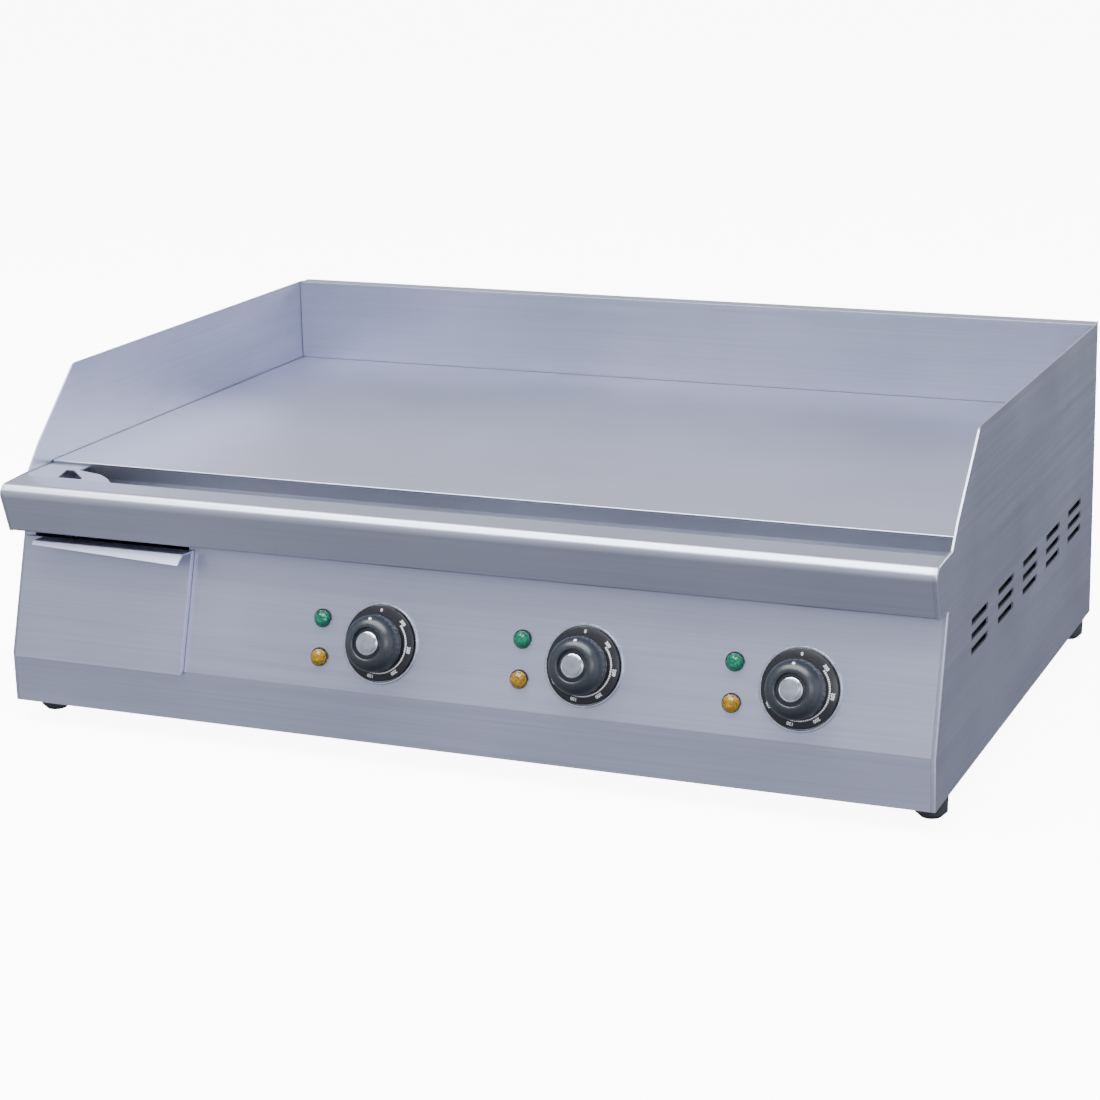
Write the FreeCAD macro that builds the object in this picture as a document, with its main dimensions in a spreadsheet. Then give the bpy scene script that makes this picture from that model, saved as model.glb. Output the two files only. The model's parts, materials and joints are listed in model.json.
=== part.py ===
import FreeCAD, Part
import math
import os
import Sketcher
from FreeCAD import Placement, Rotation, Vector

# Countertop electric flat top griddle: a folded steel housing with raised guards round a thick
# cooking plate, a grease trough and drawer, and three thermostat controls on a tilted front panel.
#
# Row frame: +X to the user's right, +Y to the back, +Z up, origin at the middle of the footprint
# at the underside of the feet.  The housing is drawn in its own frame, with y measured from the
# front edge of its underside and z from that underside.  What sits on the tilted front panel is
# drawn in the panel's frame: x along the panel, y up its slope from the bend, z out of its face.

# Driving dimensions, in millimetres and degrees.
SIZES = {
    # housing
    "body_width": 760, "side_gauge": 1.5, "flange": 3.4, "corner_round": 1.4,
    "sheet_gauge": 1.2, "seam": 0.3, "front_gap": 0.1, "overcut": 1,
    "base_depth": 517, "splash_back": 526, "splash_foot": 142, "guard_top": 254.5,
    "splash_face": 510, "splash_hem": 518,
    "guard_toe_y": 38, "guard_toe_z": 181, "guard_mid_y": 53, "guard_mid_z": 199,
    "guard_front": 112, "guard_round": 12,
    # front panel
    "band_lean": 0.7, "band_height": 40.2, "panel_tilt": 16.6, "panel_slope_run": 103,
    "panel_return": 9,
    # front rail
    "rail_back": 25, "rail_back_z": 180.5, "rail_crest_y": 1.6, "rail_crest_z": 179.2,
    "rail_brow_y": -4.6, "rail_brow_z": 172.6, "rail_chin": 6, "rail_underside": 139.6,
    "rail_return": 34, "rail_lip": 160, "rail_round": 6, "rail_chin_round": 2.4,
    # cooking plate, trough and its drain
    "plate_top": 182, "plate_thick": 12, "plate_front": 72, "plate_back": 509,
    "plate_half": 377.5, "plate_bevel": 0.4,
    "trough_front": 25.3, "trough_back": 76, "trough_floor": 151, "trough_rim": 178.6,
    "drain_x": -336, "drain_y": 54, "spout_bore": 11, "spout_end": 124, "spout_flange": 15,
    "cover_z": 178.9, "cover_toe": -295, "cover_shin": -306, "cover_shin_y": 38,
    "cover_knee": -318, "cover_knee_y": 47.5, "cover_heel": -342, "cover_heel_y": 55,
    "cover_back": 71.6, "hole_left": -346, "hole_right": -325, "hole_front": 29,
    "hole_side": 32, "hole_back": 53, "hole_tip": -353, "hole_tip_width": 7,
    # grease drawer
    "front_left": -374, "front_right": -222.5, "front_foot": -3, "front_head": 94.9,
    "return_back": 0.5, "face_back": 3.6, "lip_clear": 5.6, "lip_root": 86, "lip_mid_s": 91.5,
    "lip_mid_n": 19, "lip_end_s": 82.2, "lip_end_n": 26.3, "fold_round": 2.6,
    "lip_left": -358, "lip_left_s": 87.5, "lip_trim": 70,
    "drawer_mid": -298.2, "pan_width": 122, "pan_low": 47, "pan_high": 112,
    "pan_back": 262, "opening_low": 4.6, "opening_high": 101, "opening_half": 70.5,
    "ledge_width": 13, "rail_gap": 1.2, "guide_top": 74, "guide_front": 60, "guide_back": 300,
    "guide_foot": 13,
    # vents in the side panels
    "vent_start": 95.5, "vent_length": 49, "vent_pitch": 80.4, "vent_low": 86.9,
    "vent_rise": 11.2, "vent_high": 5.4,
    "back_vent_start": -230, "back_vent_pitch": 110, "back_vent_length": 70,
    # heating, under the plate
    "shield_front": 84, "shield_back": 500, "shield_half": 372, "shield_z": 136,
    "shield_rise": 22, "blanket_thick": 16, "blanket_inset": 4,
    "element_radius": 4, "element_bend": 24, "element_pitch": 250, "element_near": 112,
    "element_far": 470, "clamp_width": 22, "clamp_thick": 3, "clamp_near": 170, "clamp_far": 410,
    "clamp_inset": 12, "element_gap": 0.1, "bulb_gap": 0.2,
    # controls
    "knob_pitch": 166.4, "knob_first": -55, "knob_slope": 38.5, "skirt_radius": 28.7,
    "skirt_low": 1.2, "skirt_edge": 3.4, "skirt_top": 5.6, "skirt_hollow": 23.2,
    "grip_foot": 19.6, "grip_radius": 22.1, "grip_waist": 12, "crown_radius": 20.6,
    "crown_height": 26.2, "crown_round": 7, "dish_radius": 11.6, "dish_slope": 0.8,
    "dish_floor": 22.6, "cap_radius": 9.3, "cap_height": 27.4, "cap_round": 1.2,
    "knob_fit": 0.05, "bezel_inner": 29.1, "bezel_outer": 31.2, "bezel_height": 1.8,
    "bezel_land": 0.7,
    "shaft_radius": 3, "shaft_fit": 0.06, "shaft_back": -22, "shaft_front": 19,
    "flat_cut": 2.2, "stat_width": 44, "stat_height": 32, "stat_depth": 30, "stat_gap": 1.5,
    "neck_radius": 5, "neck_front": 0.9, "bulb_radius": 3, "bulb_length": 90,
    "tube_radius": 0.9, "bulb_y": 250,
    "lamp_side": 50.6, "green_slope": 53.2, "amber_slope": 23.4, "lamp_radius": 5.4,
    "lamp_flange": 7.2, "lamp_flange_high": 1.4, "lens_radius": 6.6, "lens_table": 4,
    "lens_collar": 3, "lens_high": 6.4,
    "lamp_back": -24, "lamp_fit": 0.3,
    # supply, at the back
    "gland_x": 300, "gland_z": 44, "cable_bore": 5, "gland_thread": 9.8, "gland_hex": 13.5,
    "gland_out": 18, "gland_in": 14, "gland_fit": 0.4, "gland_flat": 6, "gland_dome": 12,
    "gland_shoulder": 7, "gland_brow": 14, "gland_mouth": 9,
    "block_width": 62, "block_depth": 28, "block_height": 24, "block_x": 250,
    "block_y": 430, "block_pitch": 10.3, "block_mouth": 2.6,
    # feet
    "foot_x": 367, "foot_front": 38, "foot_back": 491, "foot_high": 17, "foot_top": 12.5,
    "foot_bottom": 12, "foot_edge": 4, "stem_radius": 4, "stem_high": 8, "stem_fit": 0.1,
    "tray_front": 2.5, "tray_rise": 13,
}

HEAT_ZONES = (-1, 0, 1)
CONTROLS = (0, 1, 2)

doc = FreeCAD.newDocument("griddle")
sheet = doc.addObject("Spreadsheet::Sheet", "Sizes")
for row, (word, number) in enumerate(SIZES.items(), start=1):
    sheet.set(f"A{row}", word)
    sheet.set(f"B{row}", str(number))
    sheet.setAlias(f"B{row}", word)
doc.recompute()


class Amount:
    """A size with its number and the expression that gives it from the sheet."""

    def __init__(self, number, text):
        self.number = float(number)
        self.text = text

    def __add__(self, other):
        other = amount(other)
        return Amount(self.number + other.number, f"({self.text} + {other.text})")

    def __sub__(self, other):
        other = amount(other)
        return Amount(self.number - other.number, f"({self.text} - {other.text})")

    def __mul__(self, other):
        other = amount(other)
        return Amount(self.number * other.number, f"({self.text} * {other.text})")

    def __truediv__(self, other):
        other = amount(other)
        return Amount(self.number / other.number, f"({self.text} / {other.text})")

    def __rsub__(self, other):
        return amount(other) - self

    def __neg__(self):
        return Amount(-self.number, f"(0 - {self.text})")

    __radd__ = __add__
    __rmul__ = __mul__


def amount(value):
    """Reads a plain number as an Amount, and leaves an Amount alone."""
    return value if isinstance(value, Amount) else Amount(value, f"({value})")


def sine(angle):
    return Amount(math.sin(math.radians(angle.number)), f"sin({angle.text})")


def cosine(angle):
    return Amount(math.cos(math.radians(angle.number)), f"cos({angle.text})")


class Cells:
    """Gives each cell of the sheet as an Amount, by its alias."""

    def __getattr__(self, word):
        return Amount(sheet.get(word), f"Sizes.{word}")


mm = Cells()
ZERO = amount(0)
HALF = mm.body_width / 2
INNER = HALF - mm.side_gauge
FIT_HALF = INNER - mm.seam
FRONT_HALF = HALF - mm.flange - mm.front_gap
GAUGE = mm.sheet_gauge
# two places, or two volumes, closer than this are the same
TOUCH = 0.001

# How far the knobs' crowns stand out in front of the housing, and the gland behind it.
CROWN_REACH = ((mm.crown_radius - mm.crown_round) * sine(mm.panel_tilt) + mm.crown_round
               + (mm.crown_height - mm.crown_round) * cosine(mm.panel_tilt))
NOSE_Y = mm.knob_slope * sine(mm.panel_tilt) - mm.band_lean - CROWN_REACH
TAIL_Y = mm.base_depth + mm.gland_out
HOUSING = Placement(Vector(0, -(NOSE_Y + TAIL_Y).number / 2, mm.foot_high.number), Rotation())
PANEL = HOUSING * Placement(Vector(0, -mm.band_lean.number, mm.band_height.number),
                            Rotation(Vector(1, 0, 0), 90 - mm.panel_tilt.number))


def moved(frame, x, y, z):
    """A frame shifted along its own axes."""
    return frame * Placement(Vector(x.number, y.number, z.number), Rotation())


def new_body(label, frame):
    body = doc.addObject("PartDesign::Body", label)
    body.Label = label
    body.Placement = frame
    return body


def new_sketch(body, role):
    """An empty sketch on one of the body's own origin planes."""
    sketch = body.newObject("Sketcher::SketchObject", f"{body.Label}_sketch")
    plane = next(item for item in body.Origin.OriginFeatures if item.Role == role)
    sketch.AttachmentSupport = [(plane, "")]
    sketch.MapMode = "FlatFace"
    return sketch


def limit(sketch, constraint, size):
    """Adds a constraint and binds its value to the sheet."""
    number = sketch.addConstraint(constraint)
    sketch.setExpression(f"Constraints[{number}]", size.text)


def pin_point(sketch, geometry, end, x, y):
    limit(sketch, Sketcher.Constraint("DistanceX", -1, 1, geometry, end, x.number), x)
    limit(sketch, Sketcher.Constraint("DistanceY", -1, 1, geometry, end, y.number), y)


def add_lines(sketch, points):
    """Draws a closed run of lines through points and joins their ends."""
    first = sketch.GeometryCount
    count = len(points)
    for here in range(count):
        sketch.addGeometry(Part.LineSegment(points[here], points[(here + 1) % count]), False)
    for here in range(count):
        follower = first + (here + 1) % count
        sketch.addConstraint(Sketcher.Constraint("Coincident", first + here, 2, follower, 1))
    return first


def outline(sketch, corners):
    """Draws a closed polygon whose corners are bound to the sheet."""
    corners = [(amount(x), amount(y)) for x, y in corners]
    first = add_lines(sketch, [Vector(x.number, y.number, 0) for x, y in corners])
    for place, (x, y) in enumerate(corners):
        pin_point(sketch, first + place, 1, x, y)


def rectangle(sketch, left, right, low, high):
    outline(sketch, [(left, low), (right, low), (right, high), (left, high)])


def circle(sketch, x, y, radius):
    number = sketch.addGeometry(Part.Circle(Vector(x.number, y.number, 0), Vector(0, 0, 1),
                                            radius.number), False)
    pin_point(sketch, number, 3, x, y)
    limit(sketch, Sketcher.Constraint("Radius", number, radius.number), radius)


def offset_corners(corners, distance):
    """Corners of the same open run of lines moved to its left by distance."""
    lines = []
    for a, b in zip(corners, corners[1:]):
        along = (b - a).normalize()
        left = Vector(-along.y, along.x, 0) * distance
        lines.append((a + left, b + left))
    moved_corners = [lines[0][0]]
    for (a, b), (c, d) in zip(lines, lines[1:]):
        first, second = b - a, d - c
        cross = first.x * second.y - first.y * second.x
        reach = ((c.x - a.x) * second.y - (c.y - a.y) * second.x) / cross
        moved_corners.append(a + first * reach)
    return moved_corners + [lines[-1][1]]


def folded(sketch, corners, gauge, side=1):
    """Draws a folded sheet's section: corners on one face, its gauge to the left (or right)."""
    corners = [(amount(x), amount(y)) for x, y in corners]
    near = [Vector(x.number, y.number, 0) for x, y in corners]
    far = offset_corners(near, side * gauge.number)
    first = add_lines(sketch, near + far[::-1])
    flats = len(near) - 1
    for place, (x, y) in enumerate(corners):
        pin_point(sketch, first + place, 1, x, y)
    for place in range(flats):
        face = first + place
        back = first + 2 * flats - place
        sketch.addConstraint(Sketcher.Constraint("Parallel", face, back))
        limit(sketch, Sketcher.Constraint("Distance", face, 1, back, gauge.number), gauge)
    last_cap, first_cap = first + flats, first + 2 * flats + 1
    sketch.addConstraint(Sketcher.Constraint("Perpendicular", last_cap, last_cap - 1))
    sketch.addConstraint(Sketcher.Constraint("Perpendicular", first_cap, first))
    return near, far


def extrude(body, sketch, length, cut=False, both=False, reverse=False):
    """Pads or pockets a sketch, and makes sure that it changed the body."""
    doc.recompute()
    before = body.Shape.Volume if body.Tip else 0
    kind = "Pocket" if cut else "Pad"
    feature = body.newObject(f"PartDesign::{kind}", f"{body.Label}_{kind.lower()}")
    feature.Profile = sketch
    feature.setExpression("Length", amount(length).text)
    feature.SideType = "Symmetric" if both else "One side"
    feature.Reversed = reverse
    sketch.Visibility = False
    doc.recompute()
    if abs(body.Shape.Volume - before) < TOUCH:
        raise RuntimeError(f"{feature.Label} changed nothing")
    return feature


def revolve(body, sketch):
    """Turns a sketch on the XZ plane a full turn about the body's Z axis."""
    axis = next(item for item in body.Origin.OriginFeatures if item.Role == "Z_Axis")
    feature = body.newObject("PartDesign::Revolution", f"{body.Label}_revolution")
    feature.Profile = sketch
    feature.ReferenceAxis = (axis, [""])
    feature.Angle = 360
    doc.recompute()
    return feature


def edges_along_x(shape, places):
    """Names of the straight edges along X that run through the given (y, z) places."""
    names = []
    for number, edge in enumerate(shape.Edges, start=1):
        start, finish = edge.Vertexes[0].Point, edge.Vertexes[-1].Point
        level = math.hypot(start.y - finish.y, start.z - finish.z) < TOUCH
        long = abs(start.x - finish.x) > 1
        near = any(math.hypot(start.y - p.x, start.z - p.y) < 1e-2 for p in places)
        if level and long and near:
            names.append(f"Edge{number}")
    return names


def soften(body, feature, places, radius, kind="Fillet"):
    """Rounds or bevels the body's edges along X at the given places."""
    names = edges_along_x(feature.Shape, places)
    if not names:
        raise RuntimeError(f"{body.Label} has no edge to soften")
    dressup = body.newObject(f"PartDesign::{kind}", f"{body.Label}_{kind.lower()}")
    dressup.Base = (feature, names)
    dressup.setExpression("Radius" if kind == "Fillet" else "Size", radius.text)
    doc.recompute()
    return dressup


def slope(distance):
    """The (y, z) place of a point on the front panel's face, up its slope from the bend."""
    return (distance * sine(mm.panel_tilt) - mm.band_lean,
            distance * cosine(mm.panel_tilt) + mm.band_height)


def rail_face():
    """The front rail's outer corners, from its back edge over the front to its underside."""
    return [(mm.rail_back, mm.rail_back_z), (mm.rail_crest_y, mm.rail_crest_z),
            (mm.rail_brow_y, mm.rail_brow_z), (mm.rail_chin, mm.rail_underside)]


def front_profile():
    """The housing's front outline seen from the side, from the base up over the rail."""
    head_y, _ = slope(mm.panel_slope_run)
    return [(ZERO, ZERO), slope(ZERO), (head_y, mm.rail_underside)] + rail_face()[::-1]


def side_panel(label, hand):
    """One side of the housing: guard, rail end, front slope and base in a single vented sheet,
    with a narrow flange turned in round the front."""
    body = new_body(label, moved(HOUSING, HALF * hand, ZERO, ZERO))
    sketch = new_sketch(body, "YZ_Plane")
    shape = front_profile()
    shape += [(mm.guard_toe_y, mm.guard_toe_z), (mm.guard_mid_y, mm.guard_mid_z),
              (mm.guard_front, mm.guard_top), (mm.base_depth, mm.guard_top),
              (mm.base_depth, ZERO)]
    outline(sketch, shape)
    inward = hand > 0
    extrude(body, sketch, mm.side_gauge, reverse=inward)
    turned_in = new_sketch(body, "YZ_Plane")
    folded(turned_in, front_profile(), mm.side_gauge, -1)
    blank = extrude(body, turned_in, mm.flange, reverse=inward)
    corner = Vector(mm.guard_front.number, mm.guard_top.number, 0)
    blank = soften(body, blank, [corner], mm.guard_round)
    blank = soften(body, blank, rail_rounds(), mm.rail_round)
    round_corner(body, blank)
    vents = new_sketch(body, "YZ_Plane")
    for group in range(5):
        start = mm.vent_start + group * mm.vent_pitch
        for level in range(3):
            low = mm.vent_low + level * mm.vent_rise
            rectangle(vents, start, start + mm.vent_length, low, low + mm.vent_high)
    extrude(body, vents, mm.side_gauge, cut=True, reverse=not inward)
    return body


def round_corner(body, feature):
    """Rounds the bend between a side panel's outer face and the flange round its front."""
    names = []
    rear, crest = mm.rail_return.number, mm.rail_crest_z.number
    for number, edge in enumerate(feature.Shape.Edges, start=1):
        ends = [vertex.Point for vertex in edge.Vertexes]
        outer = all(abs(point.x) < TOUCH for point in ends)
        front = all(point.y < rear for point in ends)
        below = all(point.z < crest + TOUCH for point in ends)
        upright = abs(ends[0].z - ends[-1].z) > TOUCH
        if outer and front and below and upright:
            names.append(f"Edge{number}")
    rounded = body.newObject("PartDesign::Fillet", f"{body.Label}_corner")
    rounded.Base = (feature, names)
    rounded.setExpression("Radius", mm.corner_round.text)
    doc.recompute()
    return rounded


def rail_rounds():
    """The two upper corners of the rail's front, which its bullnose rounds off."""
    return [Vector(y.number, z.number, 0) for y, z in rail_face()[1:3]]


def front_nose_rail():
    """The folded bullnose rail across the front, with a lip down into the trough's mouth."""
    body = new_body("front_nose_rail", HOUSING)
    sketch = new_sketch(body, "YZ_Plane")
    faces = [(mm.rail_back, mm.rail_lip)] + rail_face() + [(mm.rail_return, mm.rail_underside)]
    near, far = folded(sketch, faces, GAUGE)
    blank = extrude(body, sketch, FRONT_HALF * 2, both=True)
    blank = soften(body, blank, rail_rounds(), mm.rail_round)
    blank = soften(body, blank, far[2:4], mm.rail_round - GAUGE)
    soften(body, blank, [near[4]], mm.rail_chin_round)
    return body


def front_panel():
    """The tilted control panel and the upright band under it, folded from one sheet."""
    body = new_body("front_panel", PANEL)
    sketch = new_sketch(body, "YZ_Plane")
    tilt = mm.panel_tilt
    band_foot = (mm.band_lean * sine(tilt) - mm.band_height * cosine(tilt),
                 -(mm.band_lean * cosine(tilt)) - mm.band_height * sine(tilt))
    head = mm.panel_slope_run
    folded(sketch, [band_foot, (ZERO, ZERO), (head, ZERO), (head, -mm.panel_return)], GAUGE, -1)
    extrude(body, sketch, FRONT_HALF * 2, both=True)
    holes = new_sketch(body, "XY_Plane")
    rectangle(holes, mm.drawer_mid - mm.opening_half, mm.drawer_mid + mm.opening_half,
              mm.opening_low, mm.opening_high)
    for control in CONTROLS:
        x = knob_x(control)
        circle(holes, x, mm.knob_slope, mm.neck_radius + mm.lamp_fit)
        for lamp_slope in (mm.green_slope, mm.amber_slope):
            circle(holes, x - mm.lamp_side, lamp_slope, mm.lamp_radius + mm.lamp_fit)
    extrude(body, holes, GAUGE * 3, cut=True, both=True)
    return body


def knob_x(control):
    return mm.knob_first + control * mm.knob_pitch


def back_splash():
    """The folded wall behind the plate: up inside, over the top and down the outside, with a
    flap turned in across each end."""
    body = new_body("back_splash", HOUSING)
    sketch = new_sketch(body, "YZ_Plane")
    folded(sketch, [(mm.splash_face, mm.plate_top - mm.plate_thick),
                    (mm.splash_face, mm.guard_top), (mm.splash_back, mm.guard_top),
                    (mm.splash_back, mm.splash_foot), (mm.splash_hem, mm.splash_foot)],
           GAUGE, -1)
    extrude(body, sketch, FIT_HALF * 2, both=True)
    for hand in (-1, 1):
        flap = new_sketch(body, "YZ_Plane")
        flap.AttachmentOffset = Placement(Vector(0, 0, FIT_HALF.number * hand), Rotation())
        rectangle(flap, mm.splash_face, mm.splash_back, mm.splash_foot, mm.guard_top)
        extrude(body, flap, GAUGE, reverse=hand > 0)
    return body


def back_panel():
    """The lower back sheet, with a row of air slots and the hole for the cable gland."""
    body = new_body("back_panel", moved(HOUSING, ZERO, mm.base_depth, ZERO))
    sketch = new_sketch(body, "XZ_Plane")
    rectangle(sketch, -FIT_HALF, FIT_HALF, GAUGE + mm.seam, mm.splash_foot - mm.seam)
    circle(sketch, mm.gland_x, mm.gland_z, mm.gland_thread + mm.gland_fit)
    for slot in range(5):
        left = mm.back_vent_start + slot * mm.back_vent_pitch
        for level in range(3):
            low = mm.vent_low + level * mm.vent_rise
            rectangle(sketch, left, left + mm.back_vent_length, low, low + mm.vent_high)
    extrude(body, sketch, GAUGE)
    return body


def tray(label, frame, half, front, back, floor, rise, gauge):
    """An open tray folded from sheet: its outside size, floor height and rim."""
    body = new_body(label, frame)
    block = new_sketch(body, "XY_Plane")
    rectangle(block, -half, half, front, back)
    extrude(body, block, floor + rise)
    if floor.number:
        under = new_sketch(body, "XY_Plane")
        over = mm.overcut
        rectangle(under, -half - over, half + over, front - over, back + over)
        extrude(body, under, floor, cut=True, reverse=True)
    hollow = new_sketch(body, "YZ_Plane")
    rectangle(hollow, front + gauge, back - gauge, floor + gauge,
              floor + rise + mm.overcut)
    extrude(body, hollow, (half - gauge) * 2, cut=True, both=True)
    return body


def base_tray():
    """The base sheet with its upturned rim, drilled for the feet's stems."""
    body = tray("base_tray", HOUSING, FIT_HALF, mm.tray_front,
                mm.base_depth - GAUGE - mm.seam, ZERO, mm.tray_rise, GAUGE)
    holes = new_sketch(body, "XY_Plane")
    for x in (-mm.foot_x, mm.foot_x):
        for y in (mm.foot_front, mm.foot_back):
            circle(holes, x, y, mm.stem_radius + mm.stem_fit)
    extrude(body, holes, GAUGE * 3, cut=True, both=True)
    return body


def griddle_plate():
    """The thick cooking plate, bevelled along its front edge."""
    body = new_body("griddle_plate", HOUSING)
    sketch = new_sketch(body, "YZ_Plane")
    rectangle(sketch, mm.plate_front, mm.plate_back, mm.plate_top - mm.plate_thick, mm.plate_top)
    blank = extrude(body, sketch, mm.plate_half * 2, both=True)
    edge = Vector(mm.plate_front.number, mm.plate_top.number, 0)
    soften(body, blank, [edge], mm.plate_bevel, kind="Chamfer")
    return body


def grease_trough():
    """The gutter in front of the plate: its rear wall reaches under the plate's front edge."""
    body = new_body("grease_trough", HOUSING)
    sketch = new_sketch(body, "YZ_Plane")
    folded(sketch, [(mm.trough_front, mm.trough_rim), (mm.trough_front, mm.trough_floor),
                    (mm.trough_back, mm.trough_floor), (mm.trough_back, trough_rear_rim())],
           GAUGE)
    extrude(body, sketch, mm.plate_half * 2, both=True)
    drain = new_sketch(body, "XY_Plane")
    circle(drain, mm.drain_x, mm.drain_y, mm.spout_bore)
    extrude(body, drain, mm.trough_rim, cut=True, reverse=True)
    return body


def trough_rear_rim():
    return mm.plate_top - mm.plate_thick - mm.seam


def trough_end(label, hand):
    """A plate welded across one end of the trough."""
    body = new_body(label, moved(HOUSING, (mm.plate_half - GAUGE / 2) * hand, ZERO, ZERO))
    sketch = new_sketch(body, "YZ_Plane")
    rectangle(sketch, mm.trough_front + GAUGE, mm.trough_back - GAUGE,
              mm.trough_floor + GAUGE, trough_rear_rim())
    extrude(body, sketch, GAUGE, both=True)
    return body


def drain_spout():
    """A flanged tube that carries the grease from the trough's floor down into the drawer."""
    body = new_body("drain_spout", moved(HOUSING, mm.drain_x, mm.drain_y, ZERO))
    sketch = new_sketch(body, "XZ_Plane")
    wall = mm.spout_bore + GAUGE
    head = mm.trough_floor - GAUGE
    outline(sketch, [(mm.spout_bore, mm.spout_end), (wall, mm.spout_end), (wall, head),
                     (mm.spout_flange, head), (mm.spout_flange, mm.trough_floor),
                     (mm.spout_bore, mm.trough_floor)])
    revolve(body, sketch)
    return body


def drain_cover():
    """The small land that covers the trough's left end round its three-cornered drain hole."""
    body = new_body("drain_cover", moved(HOUSING, ZERO, ZERO, mm.cover_z))
    sketch = new_sketch(body, "XY_Plane")
    outline(sketch, [(-mm.plate_half, mm.trough_front), (mm.cover_toe, mm.trough_front),
                     (mm.cover_shin, mm.cover_shin_y), (mm.cover_knee, mm.cover_knee_y),
                     (mm.cover_heel, mm.cover_heel_y), (mm.cover_heel, mm.cover_back),
                     (-mm.plate_half, mm.cover_back)])
    outline(sketch, [(mm.hole_left, mm.hole_front), (mm.hole_right, mm.hole_front),
                     (mm.hole_right, mm.hole_side),
                     (mm.hole_tip + mm.hole_tip_width, mm.hole_back),
                     (mm.hole_tip, mm.hole_back)])
    extrude(body, sketch, GAUGE)
    return body


def drawer_front():
    """The drawer's boxed face, folded forward and down along its top as a finger lip."""
    middle = (mm.front_left + mm.front_right) / 2
    width = mm.front_right - mm.front_left
    body = new_body("drawer_front", moved(PANEL, middle, ZERO, ZERO))
    block = new_sketch(body, "YZ_Plane")
    rectangle(block, mm.front_foot, mm.front_head, mm.return_back, mm.face_back + mm.side_gauge)
    extrude(body, block, width, both=True)
    hollow = new_sketch(body, "XY_Plane")
    inside = width / 2 - GAUGE
    rectangle(hollow, -inside, inside, mm.front_foot + GAUGE, mm.front_head + mm.overcut)
    extrude(body, hollow, mm.face_back, cut=True, reverse=True)
    sketch = new_sketch(body, "YZ_Plane")
    near, far = folded(sketch, [(mm.lip_root, mm.face_back), (mm.front_head, mm.face_back),
                                (mm.lip_mid_s, mm.lip_mid_n), (mm.lip_end_s, mm.lip_end_n)],
                       mm.side_gauge)
    blank = extrude(body, sketch, width, both=True)
    blank = soften(body, blank, [near[2]], mm.fold_round)
    soften(body, blank, [far[2]], mm.fold_round - mm.side_gauge)
    trim = new_sketch(body, "XY_Plane")
    trim.AttachmentOffset = Placement(Vector(0, 0, mm.lip_clear.number), Rotation())
    left, right = mm.front_left - middle, mm.front_right - middle
    start, above = mm.lip_left - middle, mm.front_head + mm.overcut
    outline(trim, [(left - mm.overcut, mm.lip_trim), (right, mm.lip_trim),
                   (right, mm.lip_end_s), (start, mm.lip_left_s), (start, above),
                   (left - mm.overcut, above)])
    extrude(body, trim, mm.lip_end_n, cut=True, reverse=True)
    return body


def drawer_pan():
    """The deep pan that catches the grease, with its front wall on the drawer's face."""
    body = new_body("drawer_pan", moved(HOUSING, mm.drawer_mid, ZERO, ZERO))
    outside = new_sketch(body, "YZ_Plane")
    tilt = mm.panel_tilt
    lean = sine(tilt) / cosine(tilt)
    proud = mm.face_back / cosine(tilt)
    foot = (mm.pan_low - mm.band_height) * lean - mm.band_lean - proud
    head = (mm.pan_high - mm.band_height) * lean - mm.band_lean - proud
    outline(outside, [(foot, mm.pan_low), (mm.pan_back, mm.pan_low), (mm.pan_back, mm.pan_high),
                      (head, mm.pan_high)])
    extrude(body, outside, mm.pan_width, both=True)
    hollow = new_sketch(body, "YZ_Plane")
    wall = GAUGE / cosine(tilt)
    outline(hollow, [(foot + wall + GAUGE * lean, mm.pan_low + GAUGE),
                     (mm.pan_back - GAUGE, mm.pan_low + GAUGE),
                     (mm.pan_back - GAUGE, mm.pan_high), (head + wall, mm.pan_high)])
    extrude(body, hollow, mm.pan_width - GAUGE * 2, cut=True, both=True)
    return body


def drawer_guide(label, hand):
    """A guide rail: a foot on the base, an upright web and a ledge that the pan slides on."""
    body = new_body(label, moved(HOUSING, mm.drawer_mid, mm.guide_back, ZERO))
    sketch = new_sketch(body, "XZ_Plane")
    web = mm.pan_width / 2 + mm.rail_gap
    foot_top = GAUGE * 2 + mm.seam
    ledge = mm.pan_low - mm.seam
    corners = [(web - mm.guide_foot, GAUGE + mm.seam), (web + GAUGE, GAUGE + mm.seam),
               (web + GAUGE, mm.guide_top), (web, mm.guide_top), (web, ledge),
               (web - mm.ledge_width, ledge), (web - mm.ledge_width, ledge - GAUGE),
               (web, ledge - GAUGE), (web, foot_top), (web - mm.guide_foot, foot_top)]
    outline(sketch, [(x * hand, z) for x, z in corners])
    extrude(body, sketch, mm.guide_back - mm.guide_front)
    return body


def insulation_blanket():
    inset = mm.blanket_inset
    body = new_body("insulation_blanket",
                    moved(HOUSING, ZERO, ZERO, mm.shield_z + GAUGE + mm.seam))
    sketch = new_sketch(body, "XY_Plane")
    rectangle(sketch, inset - mm.shield_half, mm.shield_half - inset, mm.shield_front + inset,
              mm.shield_back - inset)
    extrude(body, sketch, mm.blanket_thick)
    return body


def element_height():
    """The centre line of the elements, which lie pressed against the plate's underside."""
    return mm.plate_top - mm.plate_thick - mm.element_radius - mm.element_gap


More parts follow.
